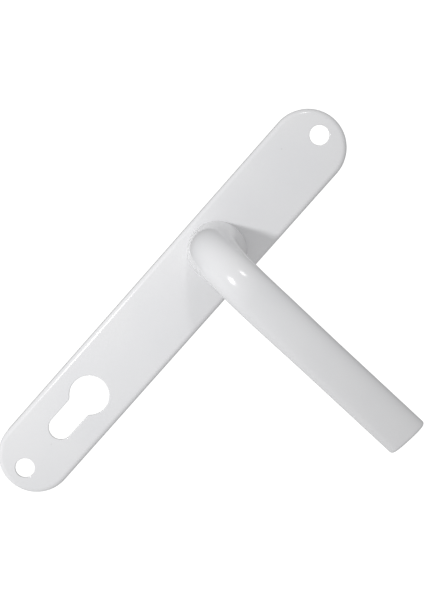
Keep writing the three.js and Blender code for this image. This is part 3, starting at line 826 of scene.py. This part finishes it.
def lever_handle():
    """The cast lever: grip, elbow and foot, and behind them its recess, shank and square socket."""
    end = box("lever_handle")[1].y
    flats_from = box("cam_plate")[1].y - CAM_THICKNESS - GAP
    clip_low, clip_high = box("circlip")
    groove_front, groove_back = clip_low.y - GAP, clip_high.y + GAP
    recess_floor = LEVER_BASE - RECESS_DEPTH
    socket_floor = box("square_spindle")[0].y - GAP
    recess = filleted([
        (FOOT_R - 0.5, LEVER_BASE, 0), (RECESS_R, LEVER_BASE, 0.1), (RECESS_R, recess_floor, 0.2),
        (SHANK_R, recess_floor, 0.2), (SHANK_R, flats_from, 0)], 3, 0.1)
    shank = [(SHANK_R, flats_from), (SHANK_R, groove_front), (GROOVE_R, groove_front),
             (GROOVE_R, groove_back), (SHANK_R, groove_back), (SHANK_R, end - 0.4), (SHANK_R - 0.4, end)]
    socket = [(SOCKET_HALF + 0.25, end), (SOCKET_HALF, end - 0.25), (SOCKET_HALF, socket_floor)]

    skin = Skin()
    rings = [skin.add_ring(section) for section in lever_outside()]
    rings += axial_rings(skin, round_radius, recess[1:])
    rings += axial_rings(skin, flatted_radius, shank)
    rings += axial_rings(skin, square_radius, socket)
    for ring in skin.join(rings):
        skin.flat(ring)
    return bored_for_grub(skin.piece("lever_casting", ENAMEL, LEVER_SMOOTH))


def bored_for_grub(handle):
    """Cuts the grub screw's hole through the underside of the neck into the socket."""
    low, high = box("grub_screw")
    inside, outside = -4, -15  # z in the socket, and below the foot's rim
    skin = Skin()
    for ring in skin.sweep(circle((high.x - low.x) / 2 + GAP, steps=48), [(0, inside), (0, outside)]):
        skin.flat(ring)
    cutter = skin.piece("cutter", ENAMEL)
    cutter.data.transform(upright(0, (low.y + high.y) / 2, 0))
    cut = handle.modifiers.new("grub_hole", "BOOLEAN")
    cut.object = cutter
    cut.operation = "DIFFERENCE"
    cut.solver = "EXACT"
    bpy.context.view_layer.update()
    handle_now = handle.evaluated_get(bpy.context.evaluated_depsgraph_get())
    mesh = bpy.data.meshes.new_from_object(handle_now)
    handle.modifiers.clear()
    handle.data = mesh
    dress(mesh, ENAMEL, LEVER_SMOOTH)
    bpy.data.objects.remove(cutter)
    return handle


def upright(x, y, z):
    """Turns what is drawn along Y to stand along Z, and sets it at a place in millimetres."""
    return Matrix.Translation(Vector((x, y, z)) * MM) @ Matrix.Rotation(math.pi / 2, 4, "X")


def square_spindle():
    """Square bar with rounded ends."""
    low, high = box("square_spindle")
    shape = rectangle(0, 0, 2 * high.x, 2 * high.z, 0.8)
    return sheet("spindle_bar", ZINC, shape, [], low.y, high.y, 0.6)


def grub_screw():
    """Socket grub screw under the neck: threaded, with a hexagon socket in its outer end."""
    low, high = box("grub_screw")
    radius, length = (high.x - low.x) / 2, high.z - low.z
    skin = Skin()
    round_shape = circle(radius, steps=24)
    edge = [skin.ring(round_shape, inset, y) for inset, y in [(0.55, 0), (0.3, 0.12)]]
    thread = threaded_rings(skin, radius, 0.3, 0.3, length - 0.5, pitch=0.8)
    tip = [skin.ring(round_shape, inset, y) for inset, y in [(0.6, length - 0.2), (1.1, length)]]
    first, last = skin.join(edge + thread + tip)
    corner_r, depth = 1.45, 2.4
    directions = [math.pi / 3 * i for i in range(6)]
    hexagon = [(corner_r * math.cos(angle), corner_r * math.sin(angle), 0.08) for angle in directions]
    socket = filleted([(-0.1, 0, 0), (0, 0, 0.05), (0, depth, 0.1), (0.3, depth, 0)], 2, 0.03)
    socket_top, socket_floor = skin.sweep(outline(hexagon, 2), socket)
    skin.flat(socket_floor)
    skin.flat(first, [socket_top])
    skin.flat(last)
    screw = skin.piece("socket_grub_screw", BLACK_OXIDE)
    screw.data.transform(upright(0, (low.y + high.y) / 2, low.z))
    return screw


def cam_plate():
    """Stamped cam: a disc with the arm that meets the stops and the tang that turns the spring."""
    low, high = box("cam_plate")
    front, back, tip = high.y - CAM_THICKNESS, high.y, low.y
    disc, reach, edge = 9.5, 12.2, 0.1
    arm, spoke = (78, 102), (268.5, 276.5)  # degrees that the arm and the tang's root take up
    radii = []
    for (start, end), next_start in [(arm, spoke[0]), (spoke, arm[0] + 360)]:
        radii += [(start, disc, 1), (start, reach, 1), *arc_radii(reach, start, end)]
        radii += [(end, reach, 1), (end, disc, 1), *arc_radii(disc, end, next_start)]
    flat_angle = math.degrees(math.acos((SHANK_FLAT + GAP) / BORE_R))
    hole_arcs = arc(0, 0, BORE_R, flat_angle, 180 - flat_angle, 24)
    hole_arcs += arc(0, 0, BORE_R, 180 + flat_angle, 360 - flat_angle, 24)
    hole = outline([point[:2] for point in hole_arcs])
    skin = Skin()
    front_edge, back_edge = skin.sweep(polar(radii, 0.35), cut_edge(front, back, edge))
    hole_front, hole_back = skin.through(hole, front, back, edge)
    tang = polar([(269.2, 11.9, 1), (275.8, 11.9, 1), (275.8, 11, 1), (269.2, 11, 1)], 0.15)
    tang_path = filleted([(-0.1, front, 0), (0, front, 0.05), (0, tip, 0.1), (0.2, tip, 0)], 2, 0.03)
    tang_ring, tang_tip = skin.sweep(tang, tang_path)
    skin.flat(tang_tip)
    skin.flat(front_edge, [hole_front, tang_ring])
    skin.flat(back_edge, [hole_back])
    return skin.piece("cam_stamping", ZINC)


def washer_section(inner, outer, front, back, corner, steps):
    """A washer's section as (radius, y) points, its four corners rounded."""
    places = [(inner, front), (outer, front), (outer, back), (inner, back)]
    return outline([(*place, corner) for place in places], steps)


def thrust_washer():
    """Flat washer on the shank, behind the housing's cover."""
    low, high = box("thrust_washer")
    skin = Skin()
    skin.turned(washer_section(BORE_R, high.x, low.y, high.y, 0.15, 3))
    return skin.piece("flat_washer", ZINC)


def wave_washer():
    """Spring washer with three waves, between the thrust washer and the circlip."""
    low, high = box("wave_washer")
    outer, rise, waves = 9.8, 0.8, 3

    def wave(angle):
        return rise * (1 + math.cos(waves * angle)) / 2

    skin = Skin()
    skin.turned(washer_section(BORE_R, outer, low.y, high.y - rise, 0.08, 2), 96, wave)
    return skin.piece("wave_spring_washer", SPRING_STEEL)


def circlip():
    """Open ring in the shank's groove, with an eye at each side of its mouth."""
    low, high = box("circlip")
    inner, outer = 7.2, 9
    mouth, steps = 25.2, 200  # degrees from the mouth's middle to its side, and points round the ring
    eye_at, eye_turn, eye_r, eye_hole_r = 9.2, 33.75, 1.4, 0.6

    def outer_radius(degrees):
        """The ring's outside, or the eye's round outline where it reaches further."""
        away = math.radians(min(abs(degrees - eye_turn), abs(360 - degrees - eye_turn)))
        inside = eye_r ** 2 - (eye_at * math.sin(away)) ** 2
        return max(outer, eye_at * math.cos(away) + math.sqrt(inside)) if inside > 0 else outer

    angles = [mouth + (360 - 2 * mouth) * i / steps for i in range(steps + 1)]
    radii = [(mouth, inner)]
    radii += [(degrees, outer_radius(degrees)) for degrees in angles]
    radii += [(360 - mouth, inner)]
    radii += [(degrees, inner) for degrees in angles[::-2][1:-1]]
    holes = []
    for side in (1, -1):
        angle = math.radians(side * eye_turn)
        holes.append(circle(eye_hole_r, eye_at * math.cos(angle), eye_at * math.sin(angle), 20))
    return sheet("retaining_ring", SPRING_STEEL, polar(radii), holes, low.y, high.y, 0.06)


# ---- pieces on their bodies ----------------------------------------------------------------------

place(cover_plate(), "backplate", "white_enamel", "cover_plate")
place(support_frame(), "backplate", "grey_nylon", "support_frame")
place(housing_cover(), "backplate", "zinc_plated_steel", "housing_cover")
place(bearing_bush(), "backplate", "white_acetal", "bearing_bush")
for number in range(1, 5):
    place(cover_screw(number), "backplate", "zinc_plated_steel", f"cover_screw_{number}")
for end in STUD_BOXES:
    place(frame_stud(end), "backplate", "zinc_plated_steel", f"frame_stud_{end}")
    place(push_nut(end), "backplate", "spring_steel", f"push_nut_{end}")
spring = return_spring()
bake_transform(spring)
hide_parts("return_spring")
place(lever_handle(), "lever", "white_enamel", "lever_handle")
place(square_spindle(), "lever", "zinc_plated_steel", "square_spindle")
place(grub_screw(), "lever", "black_oxide_steel", "grub_screw")
place(cam_plate(), "lever", "zinc_plated_steel", "cam_plate")
place(thrust_washer(), "lever", "zinc_plated_steel", "thrust_washer")
place(wave_washer(), "lever", "spring_steel", "wave_washer")
place(circlip(), "lever", "spring_steel", "circlip")


# ---- camera, light and floor ---------------------------------------------------------------------

def camera():
    """Stands 65 cm in front, a little above and to the left, rolled so the plate runs corner to corner."""
    at = (-0.0287, -0.6556, 0.0426)
    right = Vector((0.7501, 0.0152, 0.6611)).normalized()
    view = Vector((0.0665, 0.9929, -0.0983)).normalized()
    up = right.cross(view).normalized()
    data = bpy.data.cameras.new("camera")
    data.lens = 89.34
    data.sensor_width = 36
    data.shift_x = 0.0037
    data.shift_y = 0.0152
    cam = bpy.data.objects.new("camera", data)
    cam.matrix_world = Matrix.Translation(at) @ Matrix((right, up, -view)).transposed().to_4x4()
    bpy.context.scene.collection.objects.link(cam)
    bpy.context.scene.camera = cam


def area_light(name, bearing, height, distance, size, power, aim=(0, 0), spread=180):
    """A round light, placed by bearing and height in degrees round and above the lever's foot.

    It faces the point aim (x, z) on the plate and shines within the angle spread. Its distance and
    size are in metres, and aim is in millimetres.
    """
    data = bpy.data.lights.new(name, "AREA")
    data.shape = "DISK"
    data.size = size
    data.energy = power
    data.spread = math.radians(spread)
    turn, rise = math.radians(bearing), math.radians(height)
    out = Vector((math.cos(rise) * math.cos(turn), -math.sin(rise), math.cos(rise) * math.sin(turn)))
    light = bpy.data.objects.new(name, data)
    light.location = Vector((0, PLATE_FRONT * MM, 0)) + out * distance
    light.rotation_mode = "QUATERNION"
    facing = light.location - Vector((aim[0], PLATE_FRONT, aim[1])) * MM
    light.rotation_quaternion = facing.to_track_quat("Z", "Y")
    bpy.context.scene.collection.objects.link(light)


def world():
    """A white room: seen as pure white, and lighting the object softly, less from behind."""
    room = bpy.data.worlds.new("room")
    room.use_nodes = True
    tree = room.node_tree
    tree.nodes.clear()
    white = (1, 1, 1, 1)
    direction = add_node(tree, "ShaderNodeTexCoord").outputs["Generated"]
    along_y = add_node(tree, "ShaderNodeSeparateXYZ", {"Vector": direction}).outputs["Y"]
    fall_off = add_node(tree, "ShaderNodeMapRange", {
        "Value": along_y, "From Min": -0.02, "From Max": 0.6, "To Min": 0.515, "To Max": 0.335})
    soft = add_node(tree, "ShaderNodeBackground", {"Color": white, "Strength": fall_off.outputs["Result"]})
    seen = add_node(tree, "ShaderNodeBackground", {"Color": white, "Strength": 1.1})
    is_seen = add_node(tree, "ShaderNodeLightPath").outputs["Is Camera Ray"]
    both = add_node(tree, "ShaderNodeMixShader", {"Fac": is_seen, 1: soft.outputs[0], 2: seen.outputs[0]})
    add_node(tree, "ShaderNodeOutputWorld", {"Surface": both.outputs[0]})
    bpy.context.scene.world = room


def floor():
    """A pale disc well below the handle, out of the camera's view."""
    radius, thickness, ahead, below = 300, 2, 40, 300
    skin = Skin()
    for ring in skin.sweep(circle(radius, 0, -ahead, 96), [(0, 0), (0, thickness)]):
        skin.flat(ring)
    disc = skin.piece("floor", floor_paint())
    lay_flat = Matrix.Rotation(math.radians(-90), 4, "X")
    disc.data.transform(Matrix.Translation((0, 0, -below * MM)) @ lay_flat)


camera()
world()
area_light("key", bearing=211, height=55, distance=0.5, size=0.05, power=0.285, aim=(-135, -45), spread=82)
area_light("top", bearing=128, height=49, distance=0.6, size=0.06, power=0.36)
floor()
bpy.context.scene.view_settings.view_transform = "Standard"
